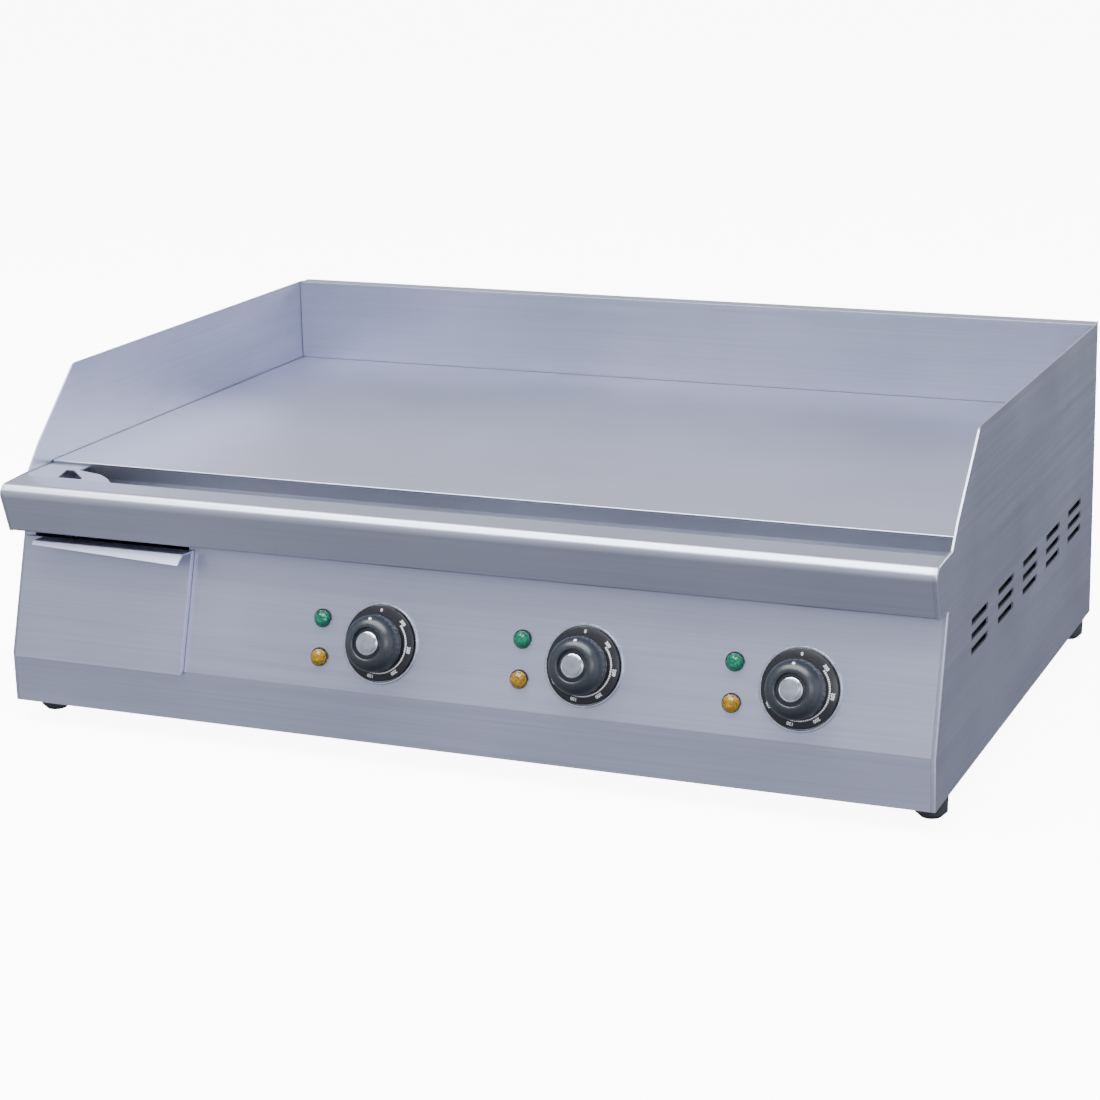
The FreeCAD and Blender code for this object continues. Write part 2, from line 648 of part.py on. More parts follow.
def heating_element(zone):
    """A tubular element bent into four straight runs."""
    label = f"heating_element_{zone + 2}"
    body = new_body(label, moved(HOUSING, zone * mm.element_pitch, mm.element_near,
                                 element_height()))
    path = new_sketch(body, "XY_Plane")
    reach = mm.element_far - mm.element_near
    bend = mm.element_bend
    start = -(bend * 3)
    for run in range(4):
        x = (start + run * 2 * bend)
        near, far = (ZERO, reach) if run % 2 == 0 else (reach, ZERO)
        line = path.addGeometry(Part.LineSegment(Vector(x.number, near.number, 0),
                                                 Vector(x.number, far.number, 0)), False)
        pin_point(path, line, 1, x, near)
        pin_point(path, line, 2, x, far)
        if run == 3:
            break
        centre = Vector(x.number + bend.number, far.number, 0)
        turn = Part.Circle(centre, Vector(0, 0, 1), bend.number)
        span = (0, math.pi) if run % 2 == 0 else (math.pi, 2 * math.pi)
        path.addGeometry(Part.ArcOfCircle(turn, *span), False)
    for arc in (1, 3, 5):
        near_end, far_end = (1, 2) if arc == 3 else (2, 1)
        path.addConstraint(Sketcher.Constraint("Tangent", arc - 1, 2, arc, near_end))
        path.addConstraint(Sketcher.Constraint("Coincident", arc + 1, 1, arc, far_end))
    section = new_sketch(body, "XZ_Plane")
    circle(section, start, ZERO, mm.element_radius)
    doc.recompute()
    pipe = body.newObject("PartDesign::AdditivePipe", f"{label}_pipe")
    pipe.Profile = section
    pipe.Spine = path
    doc.recompute()
    return body


def element_clamp(label, y):
    """A flat bar that presses the elements up against the plate."""
    top = element_height() - mm.element_radius - mm.element_gap
    body = new_body(label, moved(HOUSING, ZERO, y, top - mm.clamp_thick))
    sketch = new_sketch(body, "XY_Plane")
    half = mm.shield_half - mm.clamp_inset
    rectangle(sketch, -half, half, -mm.clamp_width / 2, mm.clamp_width / 2)
    extrude(body, sketch, mm.clamp_thick)
    return body


def knob(control):
    """The turned shape of a control knob: numbered skirt, bellied grip and dished crown."""
    body = new_body(f"knob_{control + 1}", moved(PANEL, knob_x(control), mm.knob_slope, ZERO))
    sketch = new_sketch(body, "XZ_Plane")
    bore = mm.shaft_radius + mm.knob_fit
    outline(sketch, [(bore, mm.skirt_edge), (mm.skirt_hollow, mm.skirt_edge),
                     (mm.skirt_hollow, mm.skirt_low), (mm.skirt_radius, mm.skirt_low),
                     (mm.skirt_radius, mm.skirt_edge), (mm.grip_foot, mm.skirt_top),
                     (mm.grip_radius, mm.grip_waist), (mm.crown_radius, mm.crown_height),
                     (mm.dish_radius + mm.dish_slope, mm.crown_height),
                     (mm.dish_radius, mm.dish_floor), (bore, mm.dish_floor)])
    turned = revolve(body, sketch)
    rim = [f"Edge{number}" for number, edge in enumerate(turned.Shape.Edges, start=1)
           if hasattr(edge.Curve, "Radius")
           and abs(edge.Curve.Radius - mm.crown_radius.number) < TOUCH]
    rounded = body.newObject("PartDesign::Fillet", f"{body.Label}_fillet")
    rounded.Base = (turned, rim)
    rounded.setExpression("Radius", mm.crown_round.text)
    doc.recompute()
    return body


def knob_cap(control):
    """The metal button in the middle of a knob's crown."""
    body = new_body(f"knob_cap_{control + 1}",
                    moved(PANEL, knob_x(control), mm.knob_slope, ZERO))
    sketch = new_sketch(body, "XZ_Plane")
    edge = mm.cap_radius - mm.cap_round
    outline(sketch, [(ZERO, mm.dish_floor), (mm.cap_radius, mm.dish_floor),
                     (mm.cap_radius, mm.cap_height - mm.cap_round), (edge, mm.cap_height),
                     (ZERO, mm.cap_height)])
    revolve(body, sketch)
    return body


def thermostat_shaft(control):
    """The thermostat's spindle, with a flat where the knob grips it."""
    body = new_body(f"thermostat_shaft_{control + 1}",
                    moved(PANEL, knob_x(control), mm.knob_slope, ZERO))
    sketch = new_sketch(body, "XZ_Plane")
    rectangle(sketch, ZERO, mm.shaft_radius, mm.shaft_back, mm.shaft_front)
    revolve(body, sketch)
    flat = new_sketch(body, "YZ_Plane")
    rectangle(flat, mm.flat_cut, mm.shaft_radius + mm.overcut, mm.skirt_edge,
              mm.shaft_front + mm.overcut)
    extrude(body, flat, mm.shaft_radius * 4, cut=True, both=True)
    return body


def skirt_bezel(control):
    """The bright ring round a knob's skirt."""
    body = new_body(f"skirt_bezel_{control + 1}",
                    moved(PANEL, knob_x(control), mm.knob_slope, ZERO))
    sketch = new_sketch(body, "XZ_Plane")
    outline(sketch, [(mm.bezel_inner, ZERO), (mm.bezel_outer, ZERO),
                     (mm.bezel_outer, mm.bezel_height - mm.bezel_land),
                     (mm.bezel_outer - mm.bezel_land, mm.bezel_height),
                     (mm.bezel_inner, mm.bezel_height)])
    revolve(body, sketch)
    return body


def thermostat(control):
    """The thermostat's case behind the panel, with the threaded neck that its spindle runs in."""
    frame = moved(PANEL, knob_x(control), mm.knob_slope, ZERO)
    body = new_body(f"thermostat_{control + 1}", frame)
    case = new_sketch(body, "YZ_Plane")
    face = -mm.stat_gap
    rectangle(case, -mm.stat_height / 2, mm.stat_height / 2, face - mm.stat_depth, face)
    extrude(body, case, mm.stat_width, both=True)
    neck = new_sketch(body, "XY_Plane")
    circle(neck, ZERO, ZERO, mm.neck_radius)
    extrude(body, neck, (mm.stat_gap + mm.neck_front) * 2, both=True)
    trim = new_sketch(body, "YZ_Plane")
    wide = mm.neck_radius + mm.overcut
    rectangle(trim, -wide, wide, mm.neck_front, mm.neck_front + mm.stat_gap * 2)
    extrude(body, trim, mm.stat_width, cut=True, both=True)
    bore = new_sketch(body, "XY_Plane")
    circle(bore, ZERO, ZERO, mm.shaft_radius + mm.shaft_fit)
    extrude(body, bore, (mm.seam - mm.shaft_back) * 2, cut=True, both=True)
    return body


def lamp_frame(control, lamp_slope):
    return moved(PANEL, knob_x(control) - mm.lamp_side, lamp_slope, ZERO)


def lamp_body(label, frame):
    """An indicator lamp's barrel through the panel and its flange on the face."""
    body = new_body(label, frame)
    sketch = new_sketch(body, "XZ_Plane")
    outline(sketch, [(ZERO, mm.lamp_back), (mm.lamp_radius, mm.lamp_back),
                     (mm.lamp_radius, ZERO), (mm.lamp_flange, ZERO),
                     (mm.lamp_flange, mm.lamp_flange_high), (ZERO, mm.lamp_flange_high)])
    revolve(body, sketch)
    return body


def lamp_lens(label, frame):
    """A jewelled lens: a faceted collar under a flat table."""
    body = new_body(label, frame)
    sketch = new_sketch(body, "XZ_Plane")
    outline(sketch, [(ZERO, mm.lamp_flange_high), (mm.lens_radius, mm.lamp_flange_high),
                     (mm.lens_radius, mm.lens_collar), (mm.lens_table, mm.lens_high),
                     (ZERO, mm.lens_high)])
    revolve(body, sketch)
    return body


def thermostat_bulb(zone):
    """A sensing bulb clipped between the plate and the blanket, and its fine capillary tube."""
    label = f"thermostat_bulb_{zone + 2}"
    bulb_x = zone * mm.element_pitch - mm.element_bend * 2
    frame = moved(HOUSING, bulb_x, mm.bulb_y, mm.plate_top - mm.plate_thick
                  - mm.bulb_radius - mm.bulb_gap)
    body = new_body(label, frame)
    bulb = new_sketch(body, "XZ_Plane")
    circle(bulb, ZERO, ZERO, mm.bulb_radius)
    extrude(body, bulb, mm.bulb_length)
    tube = new_sketch(body, "XZ_Plane")
    circle(tube, ZERO, ZERO, mm.tube_radius)
    extrude(body, tube, mm.bulb_y - mm.shield_front - GAUGE * 2)
    return body


def terminal_block():
    """The ceramic-style terminal block on the base, with a row of wire mouths."""
    body = new_body("terminal_block",
                    moved(HOUSING, mm.block_x, mm.block_y, GAUGE + mm.seam))
    sketch = new_sketch(body, "XY_Plane")
    rectangle(sketch, -mm.block_width / 2, mm.block_width / 2, -mm.block_depth / 2,
              mm.block_depth / 2)
    extrude(body, sketch, mm.block_height)
    mouths = new_sketch(body, "XZ_Plane")
    for place in range(5):
        circle(mouths, (place - 2) * mm.block_pitch, mm.block_height / 2, mm.block_mouth)
    extrude(body, mouths, mm.block_depth * 2, cut=True, both=True)
    return body


def cable_gland():
    """The cable gland: a threaded tail through the back panel, a hexagon and a domed nut."""
    frame = (moved(HOUSING, mm.gland_x, mm.base_depth, mm.gland_z)
             * Placement(Vector(), Rotation(Vector(1, 0, 0), -90)))
    body = new_body("cable_gland", frame)
    sketch = new_sketch(body, "XZ_Plane")
    outline(sketch, [(mm.cable_bore, -mm.gland_in), (mm.gland_thread, -mm.gland_in),
                     (mm.gland_thread, ZERO), (mm.gland_hex, ZERO),
                     (mm.gland_hex, mm.gland_flat), (mm.gland_dome, mm.gland_shoulder),
                     (mm.gland_dome, mm.gland_brow), (mm.gland_mouth, mm.gland_out),
                     (mm.cable_bore, mm.gland_out)])
    revolve(body, sketch)
    return body


def foot(label, x, y):
    """A tapered rubber foot with the stem that holds it in the base."""
    body = new_body(label, moved(HOUSING, x, y, ZERO))
    sketch = new_sketch(body, "XZ_Plane")
    outline(sketch, [(ZERO, -mm.foot_high), (mm.foot_bottom - mm.foot_edge, -mm.foot_high),
                     (mm.foot_bottom, mm.foot_edge - mm.foot_high), (mm.foot_top, ZERO),
                     (mm.stem_radius, ZERO), (mm.stem_radius, mm.stem_high),
                     (ZERO, mm.stem_high)])
    revolve(body, sketch)
    return body


parts = [
    side_panel("side_panel_left", -1), side_panel("side_panel_right", 1),
    front_nose_rail(), front_panel(), back_splash(), back_panel(), base_tray(),
    griddle_plate(), grease_trough(), trough_end("trough_end_left", -1),
    trough_end("trough_end_right", 1), drain_spout(), drain_cover(),
    drawer_front(), drawer_pan(), drawer_guide("drawer_guide_left", -1),
    drawer_guide("drawer_guide_right", 1),
    tray("heat_shield", HOUSING, mm.shield_half, mm.shield_front, mm.shield_back,
         mm.shield_z, mm.shield_rise, GAUGE),
    insulation_blanket(), element_clamp("element_clamp_front", mm.clamp_near),
    element_clamp("element_clamp_back", mm.clamp_far),
    terminal_block(), cable_gland(),
]
parts += [heating_element(zone) for zone in HEAT_ZONES]
parts += [thermostat_bulb(zone) for zone in HEAT_ZONES]
for control in CONTROLS:
    parts += [knob(control), knob_cap(control), thermostat_shaft(control),
              skirt_bezel(control), thermostat(control)]
    for colour, lamp_slope in (("green", mm.green_slope), ("amber", mm.amber_slope)):
        frame = lamp_frame(control, lamp_slope)
        parts += [lamp_body(f"lamp_body_{colour}_{control + 1}", frame),
                  lamp_lens(f"lamp_lens_{colour}_{control + 1}", frame)]
for end, y in (("front", mm.foot_front), ("back", mm.foot_back)):
    parts += [foot(f"foot_{end}_left", -mm.foot_x, y), foot(f"foot_{end}_right", mm.foot_x, y)]

doc.recompute()
for item in doc.Objects:
    if "Invalid" in item.State or "Error" in item.State:
        raise RuntimeError(f"{item.Label} failed: {item.State}")
for part in parts:
    if part.Shape.isNull() or not part.Shape.isValid():
        raise RuntimeError(f"{part.Label} is not a valid solid")

os.makedirs("parts", exist_ok=True)
for part in parts:
    part.Shape.exportStep(f"parts/{part.Label}.step")
print(len(parts), "parts written")
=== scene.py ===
import math

import bmesh
import bpy
from mathutils import Matrix, Vector
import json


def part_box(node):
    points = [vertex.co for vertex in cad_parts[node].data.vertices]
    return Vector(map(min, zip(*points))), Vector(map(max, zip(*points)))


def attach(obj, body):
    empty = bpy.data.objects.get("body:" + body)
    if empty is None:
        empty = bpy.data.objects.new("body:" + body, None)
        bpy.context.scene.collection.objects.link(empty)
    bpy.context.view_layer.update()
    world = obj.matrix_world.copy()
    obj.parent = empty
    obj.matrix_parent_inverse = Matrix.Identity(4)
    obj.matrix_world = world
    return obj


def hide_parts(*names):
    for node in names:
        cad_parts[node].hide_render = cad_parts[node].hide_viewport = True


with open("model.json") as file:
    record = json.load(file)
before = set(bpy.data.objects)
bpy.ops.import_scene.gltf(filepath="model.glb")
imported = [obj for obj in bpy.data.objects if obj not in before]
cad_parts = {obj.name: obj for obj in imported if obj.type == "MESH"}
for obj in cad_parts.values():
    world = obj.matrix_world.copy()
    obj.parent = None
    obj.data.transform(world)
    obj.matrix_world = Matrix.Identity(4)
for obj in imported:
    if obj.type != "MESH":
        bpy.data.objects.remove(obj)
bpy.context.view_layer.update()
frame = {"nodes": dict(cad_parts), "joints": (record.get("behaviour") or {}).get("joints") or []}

MM = 0.001
CONTROLS = (1, 2, 3)
RIGHT = Vector((1, 0, 0))
# a Mix node's two colour inputs and its colour output, by number, since their names repeat
FIRST_COLOUR, SECOND_COLOUR, MIXED_COLOUR = 6, 7, 2


# ---------------------------------------------------------------- finishes

def linear(hex_colour):
    """An sRGB hex colour as linear red, green, blue and full alpha."""
    channels = [int(hex_colour[i:i + 2], 16) / 255 for i in (1, 3, 5)]
    curve = [c / 12.92 if c <= 0.04045 else ((c + 0.055) / 1.055) ** 2.4 for c in channels]
    return (*curve, 1.0)


def add(tree, kind, settings=None, links=None):
    """Adds one node: settings name its properties or inputs, links name the sockets it reads."""
    node = tree.nodes.new(kind)
    for name, value in (settings or {}).items():
        if hasattr(node, str(name)):
            setattr(node, name, value)
        else:
            node.inputs[name].default_value = value
    for name, source in (links or {}).items():
        tree.links.new(source, node.inputs[name])
    return node


def two_tones(ramp, dark, light, spread):
    """Runs a colour ramp from dark to light across its middle, spread wide either side."""
    for end, place, colour in ((0, 0.5 - spread, dark), (1, 0.5 + spread, light)):
        ramp.elements[end].position = place
        ramp.elements[end].color = linear(colour)


def blank_finish(name, **shader):
    """A new material with only its shader, whose plain values are set on its own sockets."""
    material = bpy.data.materials.new(name)
    material.use_nodes = True
    tree = material.node_tree
    skin = tree.nodes["Principled BSDF"]
    for socket, value in shader.items():
        skin.inputs[socket.replace("_", " ")].default_value = value
    return material, tree, skin


def brushed_stainless(name, light, dark, grain=RIGHT, roughness=0.38, streak_mm=1.6):
    """Type 304 stainless sheet, belt brushed along one direction: long faint streaks, a soft
    stretched gloss, and slow cloudy changes where the sheet has been handled and wiped."""
    material, tree, skin = blank_finish(name, Metallic=1.0, Roughness=roughness)
    place = add(tree, "ShaderNodeTexCoord").outputs["Object"]
    # streaks streak_mm wide, coarser than the real 0.2 mm grain so that they show, 220 mm long
    along, across = 1 / (220 * MM), 1 / (streak_mm * MM)
    stretch = [along if abs(part) > 0.5 else across for part in grain]
    streak_place = add(tree, "ShaderNodeMapping", {"Scale": stretch}, {"Vector": place})
    streaks = add(tree, "ShaderNodeTexNoise", {"Scale": 1.0, "Detail": 4.0, "Roughness": 0.62},
                  {"Vector": streak_place.outputs[0]})
    fine_stretch = [value * 3.5 for value in stretch]
    fine_place = add(tree, "ShaderNodeMapping", {"Scale": fine_stretch}, {"Vector": place})
    scratches = add(tree, "ShaderNodeTexNoise", {"Scale": 1.0, "Detail": 3.0},
                    {"Vector": fine_place.outputs[0]})
    # wiping clouds about 140 mm across
    clouds = add(tree, "ShaderNodeTexNoise", {"Scale": 1 / (140 * MM), "Detail": 2.0},
                 {"Vector": place})
    blend = add(tree, "ShaderNodeMix", {"data_type": "FLOAT", "Factor": 0.45},
                {"A": streaks.outputs["Fac"], "B": clouds.outputs["Fac"]})
    tone = add(tree, "ShaderNodeValToRGB", None, {"Fac": blend.outputs["Result"]})
    two_tones(tone.color_ramp, dark, light, 0.14)
    tree.links.new(tone.outputs["Color"], skin.inputs["Base Color"])
    gloss = add(tree, "ShaderNodeMapRange",
                {"From Min": 0.3, "From Max": 0.7, "To Min": roughness - 0.05,
                 "To Max": roughness + 0.06}, {"Value": blend.outputs["Result"]})
    tree.links.new(gloss.outputs["Result"], skin.inputs["Roughness"])
    grain_bump = add(tree, "ShaderNodeBump", {"Strength": 0.10, "Distance": 0.05 * MM},
                     {"Height": scratches.outputs["Fac"]})
    tree.links.new(grain_bump.outputs["Normal"], skin.inputs["Normal"])
    return material


def ground_plate(name):
    """The cooking plate: mild steel ground flat and polished on top, so a pale satin sheen with
    faint grinding lines and slow blotches; its sawn edges are painted darker, as painted shade for
    the shadow they lie in above the grease trough."""
    material, tree, skin = blank_finish(name, Metallic=1.0, Roughness=0.36)
    place = add(tree, "ShaderNodeTexCoord").outputs["Object"]
    blotches = add(tree, "ShaderNodeTexNoise", {"Scale": 1 / (210 * MM), "Detail": 2.0},
                   {"Vector": place})
    stretched = add(tree, "ShaderNodeMapping", {"Scale": (1 / (180 * MM), 1 / (3 * MM), 1.0)},
                    {"Vector": place})
    grind = add(tree, "ShaderNodeTexNoise", {"Scale": 1.0, "Detail": 5.0},
                {"Vector": stretched.outputs[0]})
    blend = add(tree, "ShaderNodeMix", {"data_type": "FLOAT", "Factor": 0.5},
                {"A": blotches.outputs["Fac"], "B": grind.outputs["Fac"]})
    tone = add(tree, "ShaderNodeValToRGB", None, {"Fac": blend.outputs["Result"]})
    two_tones(tone.color_ramp, "#C2C5DA", "#CCCFE3", 0.16)
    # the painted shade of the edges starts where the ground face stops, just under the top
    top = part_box("griddle_plate")[1].z
    parts = add(tree, "ShaderNodeSeparateXYZ", None, {"Vector": place})
    ground = add(tree, "ShaderNodeMapRange",
                 {"From Min": top - 0.2 * MM, "From Max": top - 0.05 * MM},
                 {"Value": parts.outputs["Z"]})
    # painted shade: below the ground face the sides take the darker colour #A3A6B2
    sides = add(tree, "ShaderNodeMix", {"data_type": "RGBA"},
                {"Factor": ground.outputs["Result"], SECOND_COLOUR: tone.outputs["Color"]})
    sides.inputs[FIRST_COLOUR].default_value = linear("#A3A6B2")
    tree.links.new(sides.outputs[MIXED_COLOUR], skin.inputs["Base Color"])
    gloss = add(tree, "ShaderNodeMapRange",
                {"From Min": 0.3, "From Max": 0.7, "To Min": 0.34, "To Max": 0.42},
                {"Value": blend.outputs["Result"]})
    tree.links.new(gloss.outputs["Result"], skin.inputs["Roughness"])
    bump = add(tree, "ShaderNodeBump", {"Strength": 0.08, "Distance": 0.04 * MM},
               {"Height": grind.outputs["Fac"]})
    tree.links.new(bump.outputs["Normal"], skin.inputs["Normal"])
    return material


def speckled(name, light, dark, size_mm, bump=0.1, **shader):
    """A moulded or cast surface: two close tones mottled at size_mm with a matching fine bump."""
    material, tree, skin = blank_finish(name, **shader)
    place = add(tree, "ShaderNodeTexCoord").outputs["Object"]
    mottle = add(tree, "ShaderNodeTexNoise", {"Scale": 1 / (size_mm * MM), "Detail": 4.0},
                 {"Vector": place})
    tone = add(tree, "ShaderNodeValToRGB", None, {"Fac": mottle.outputs["Fac"]})
    two_tones(tone.color_ramp, dark, light, 0.15)
    tree.links.new(tone.outputs["Color"], skin.inputs["Base Color"])
    rough = skin.inputs["Roughness"].default_value
    gloss = add(tree, "ShaderNodeMapRange", {"To Min": rough - 0.05, "To Max": rough + 0.08},
                {"Value": mottle.outputs["Fac"]})
    tree.links.new(gloss.outputs["Result"], skin.inputs["Roughness"])
    grain = add(tree, "ShaderNodeBump", {"Strength": bump, "Distance": 0.05 * MM},
                {"Height": mottle.outputs["Fac"]})
    tree.links.new(grain.outputs["Normal"], skin.inputs["Normal"])
    return material


FRONT_STEEL = brushed_stainless("front_steel", "#C3C6DB", "#B6B9CF", roughness=0.42)
RAIL_STEEL = brushed_stainless("rail_steel", "#BFC2D2", "#B6B9C9", roughness=0.33)
# painted shade: the side panels' stainless is tinted darker than the front's, for the shade on the
# sides
SHADED_SIDE_STEEL = brushed_stainless("side_steel_painted_shade", "#B8BBCC", "#A9ACBD", grain=Vector((0, 1, 0)))
GUARD_STEEL = brushed_stainless("guard_steel", "#B9BCCD", "#ACAFC0")
TROUGH_STEEL = brushed_stainless("trough_steel", "#C6C9D4", "#B3B6C2", roughness=0.45)
INNER_STEEL = brushed_stainless("inner_steel", "#A3A5AA", "#8B8D93", roughness=0.45)
# painted shade: the drain spout's steel is darkened almost to black, standing in for the shade it
# lies in behind the gap over the drawer
SHADED_SPOUT_STEEL = brushed_stainless("spout_steel_painted_shade", "#55565C", "#44454A", roughness=0.6)
PLATE_STEEL = ground_plate("plate_steel")
SKIRT_BLACK = speckled("skirt_phenolic", "#1D1D26", "#15151C", 1.5, 0.06, Roughness=0.3)
GRIP_SLATE = speckled("grip_phenolic", "#2B3138", "#23282F", 1.5, 0.06, Roughness=0.3)
CAP_CHROME = speckled("cap_chrome", "#CCD1DA", "#B4BAC6", 6, 0.03, Metallic=1.0, Roughness=0.18)
BEZEL_CHROME = speckled("bezel_chrome", "#C9CDD6", "#B4B9C4", 5, 0.03, Metallic=1.0,
                        Roughness=0.24)
DIAL_INK = speckled("dial_ink", "#F6F7F8", "#E6E8EA", 1.0, 0.02, Roughness=0.5)
FOOT_RUBBER = speckled("foot_rubber", "#2C3037", "#1E2127", 1.2, 0.25, Roughness=0.55)
NYLON = speckled("black_nylon", "#1C1D20", "#131417", 1.5, 0.12, Roughness=0.45)
PHENOLIC = speckled("brown_phenolic", "#2C231D", "#1C1612", 2.0, 0.15, Roughness=0.5)
CERAMIC = speckled("steatite", "#E6E0D2", "#D3CCBC", 2.5, 0.12, Roughness=0.55)
COPPER = speckled("drawn_copper", "#C08862", "#A26E4B", 4, 0.05, Metallic=1.0, Roughness=0.3)
SHEATH = speckled("element_sheath", "#5A5550", "#3A3632", 5, 0.1, Metallic=1.0, Roughness=0.45)
BLANKET = speckled("mineral_blanket", "#CFC8B6", "#A79F8B", 3, 0.6, Roughness=0.95)
GREEN_LENS = speckled("green_lens", "#0F8C68", "#066048", 2, 0.02, Roughness=0.06,
                      Transmission_Weight=0.2, IOR=1.49)
AMBER_LENS = speckled("amber_lens", "#BE9206", "#7E5E02", 2, 0.02, Roughness=0.06,
                      Transmission_Weight=0.2, IOR=1.49)
FLOOR_PAPER = speckled("studio_paper", "#F6F6F7", "#F3F3F5", 60, 0.02, Roughness=0.9,
                       Emission_Color=linear("#FFFFFF"), Emission_Strength=9.0)


# ---------------------------------------------------------------- shaping

def mesh_piece(name, shape, material, sharp_degrees=32):
    """Makes an object from a bmesh, smooth but for its edges sharper than sharp_degrees."""
    bmesh.ops.remove_doubles(shape, verts=shape.verts, dist=1e-7)
    bmesh.ops.recalc_face_normals(shape, faces=shape.faces)
    for face in shape.faces:
        face.smooth = True
    for edge in shape.edges:
        if len(edge.link_faces) == 2:
            edge.smooth = edge.calc_face_angle() < math.radians(sharp_degrees)
    mesh = bpy.data.meshes.new(name)
    shape.to_mesh(mesh)
    shape.free()
    piece = bpy.data.objects.new(name, mesh)
    bpy.context.scene.collection.objects.link(piece)
    mesh.materials.append(material)
    return piece


def turned(profile, segments=96, wave=None):
    """Turns a profile of (radius, height) points about Z; wave may change a point's radius."""
    shape = bmesh.new()
    rings = []
    for radius, height in profile:
        ring = []
        for step in range(segments):
            angle = 2 * math.pi * step / segments
            reach = wave(angle, radius, height) if wave else radius
            ring.append(shape.verts.new((reach * math.cos(angle), reach * math.sin(angle),
                                         height)))
        rings.append(ring)
    for low, high in zip(rings, rings[1:]):
        for step in range(segments):
            after = (step + 1) % segments
            shape.faces.new((low[step], low[after], high[after], high[step]))
    for ring in (rings[0], rings[-1]):
        if ring[0].co.xy.length > 1e-6:
            shape.faces.new(ring)
    bmesh.ops.remove_doubles(shape, verts=shape.verts, dist=1e-7)
    return shape


def arc(centre, radius, start, finish, steps=8):
    """Points on a round stretch of a profile, between two angles in degrees."""
    angles = [math.radians(start + (finish - start) * i / steps) for i in range(steps + 1)]
    return [(centre[0] + radius * math.cos(a), centre[1] + radius * math.sin(a)) for a in angles]


def in_mm(points):
    """Points given in millimetres, turned into metres."""
    return [(x * MM, y * MM) for x, y in points]


# ---------------------------------------------------------------- where the controls are

joints = {joint["name"]: joint for joint in frame["joints"]}
INWARD = Vector(joints["knob_1_turn"]["axis"])
OUTWARD = -INWARD
UPSLOPE = OUTWARD.cross(RIGHT)


def panel_frame(origin):
    """A matrix that puts a piece drawn flat on the panel at origin: x right, y up, z outward."""
    turn = Matrix((RIGHT, UPSLOPE, OUTWARD)).transposed().to_4x4()
    return Matrix.Translation(origin) @ turn


def knob_origin(control):
    return Vector(joints[f"knob_{control}_turn"]["pos_m"])


def set_on_panel(piece, origin, body):
    """Stands a piece drawn flat on the front panel and lets it ride on a body."""
    piece.data.transform(panel_frame(origin))
    piece.data.update()
    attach(piece, body)


# ---------------------------------------------------------------- CAD nodes and their finishes

def finish_node(node, material, bevel_mm=0.0):
    """Gives a CAD node its finish and, where asked, a small broken edge."""
    body = frame["nodes"][node]
    body.data.materials.clear()
    body.data.materials.append(material)
    if bevel_mm:
        weld = body.modifiers.new("join", "WELD")
        weld.merge_threshold = 0.01 * MM
        edge = body.modifiers.new("edge", "BEVEL")
        edge.width = bevel_mm * MM
        edge.segments = 2
        edge.limit_method = "ANGLE"
        edge.angle_limit = math.radians(40)
        # the flat faces keep an even sheen right up to the softened edges
        even = body.modifiers.new("even", "WEIGHTED_NORMAL")
        even.weight = 100


for node in frame["nodes"]:
    finish_node(node, INNER_STEEL)
finish_node("front_panel", FRONT_STEEL)
finish_node("drawer_front", FRONT_STEEL, 0.5)
finish_node("front_nose_rail", RAIL_STEEL)
for node in ("side_panel_left", "side_panel_right"):
    finish_node(node, SHADED_SIDE_STEEL, 0.35)
for node in ("back_splash", "back_panel"):
    finish_node(node, GUARD_STEEL, 0.3)
for node in ("grease_trough", "trough_end_left", "trough_end_right"):
    finish_node(node, TROUGH_STEEL)
finish_node("drain_spout", SHADED_SPOUT_STEEL)
finish_node("drain_cover", RAIL_STEEL)
finish_node("griddle_plate", PLATE_STEEL)
finish_node("insulation_blanket", BLANKET)
finish_node("terminal_block", CERAMIC)
finish_node("cable_gland", NYLON)
for node in frame["nodes"]:
    if node.startswith("foot_"):
        finish_node(node, FOOT_RUBBER)
    if node.startswith("heating_element"):
        finish_node(node, SHEATH)
    if node.startswith("thermostat_bulb"):
        finish_node(node, COPPER)
for control in CONTROLS:
    finish_node(f"thermostat_{control}", PHENOLIC)
    for colour in ("green", "amber"):
        finish_node(f"lamp_body_{colour}_{control}", NYLON)


# ---------------------------------------------------------------- knobs

# heights above the panel's face and radii, in millimetres
SKIRT_EDGE, SKIRT_TOP, SKIRT_RADIUS, GRIP_FOOT = 3.4, 5.5, 28.7, 19.6
DISH_FLOOR = 22.6
FIGURE_RADIUS, FIGURE_SIZE, SCALE_RADIUS = 25.3, 3.5, 22.3
# the white dot's foot and face radii and depth, then how far out and up it sits, then its lean
# in degrees
DOT_FOOT, DOT_FACE, DOT_DEPTH, DOT_OUT, DOT_UP, DOT_LEAN = 1.35, 1.1, 0.9, 18.6, 22.85, 42
FLUTES, FLUTE_START, FLUTE_RUN, FLUTE_DEPTH = 36, 6.5, 13.0, 0.3
# each figure and its place, in degrees clockwise from the top
FIGURES = (("0", 0), ("300", 47), ("250", 96), ("200", 144), ("150", 190), ("100", 238))


def smooth_run(points, steps=6):
    """A smooth curve through every point of a profile."""
    run = []
    ends = [points[0]] + list(points) + [points[-1]]
    for a, b, c, d in zip(ends, ends[1:], ends[2:], ends[3:]):
        for step in range(steps):
            t = step / steps
            run.append(tuple(0.5 * (2 * q + (r - p) * t + (2 * p - 5 * q + 4 * r - s) * t * t
                                    + (3 * q - p - 3 * r + s) * t ** 3)
                             for p, q, r, s in zip(a, b, c, d)))
    return run + [points[-1]]


def skirt_profile():
    """The dial: under its rim, out round the edge, and up the cone that carries the figures."""
    under = [(3.2, 2.6), (24.8, 2.6), (25.4, 1.2), (28.0, 1.2)]
    edge = arc((27.95, 1.95), 0.75, -70, 0, 4) + arc((27.9, 2.75), 0.8, 0, 72, 5)
    return in_mm(under + edge + [(GRIP_FOOT + 0.3, SKIRT_TOP), (3.2, SKIRT_TOP)])


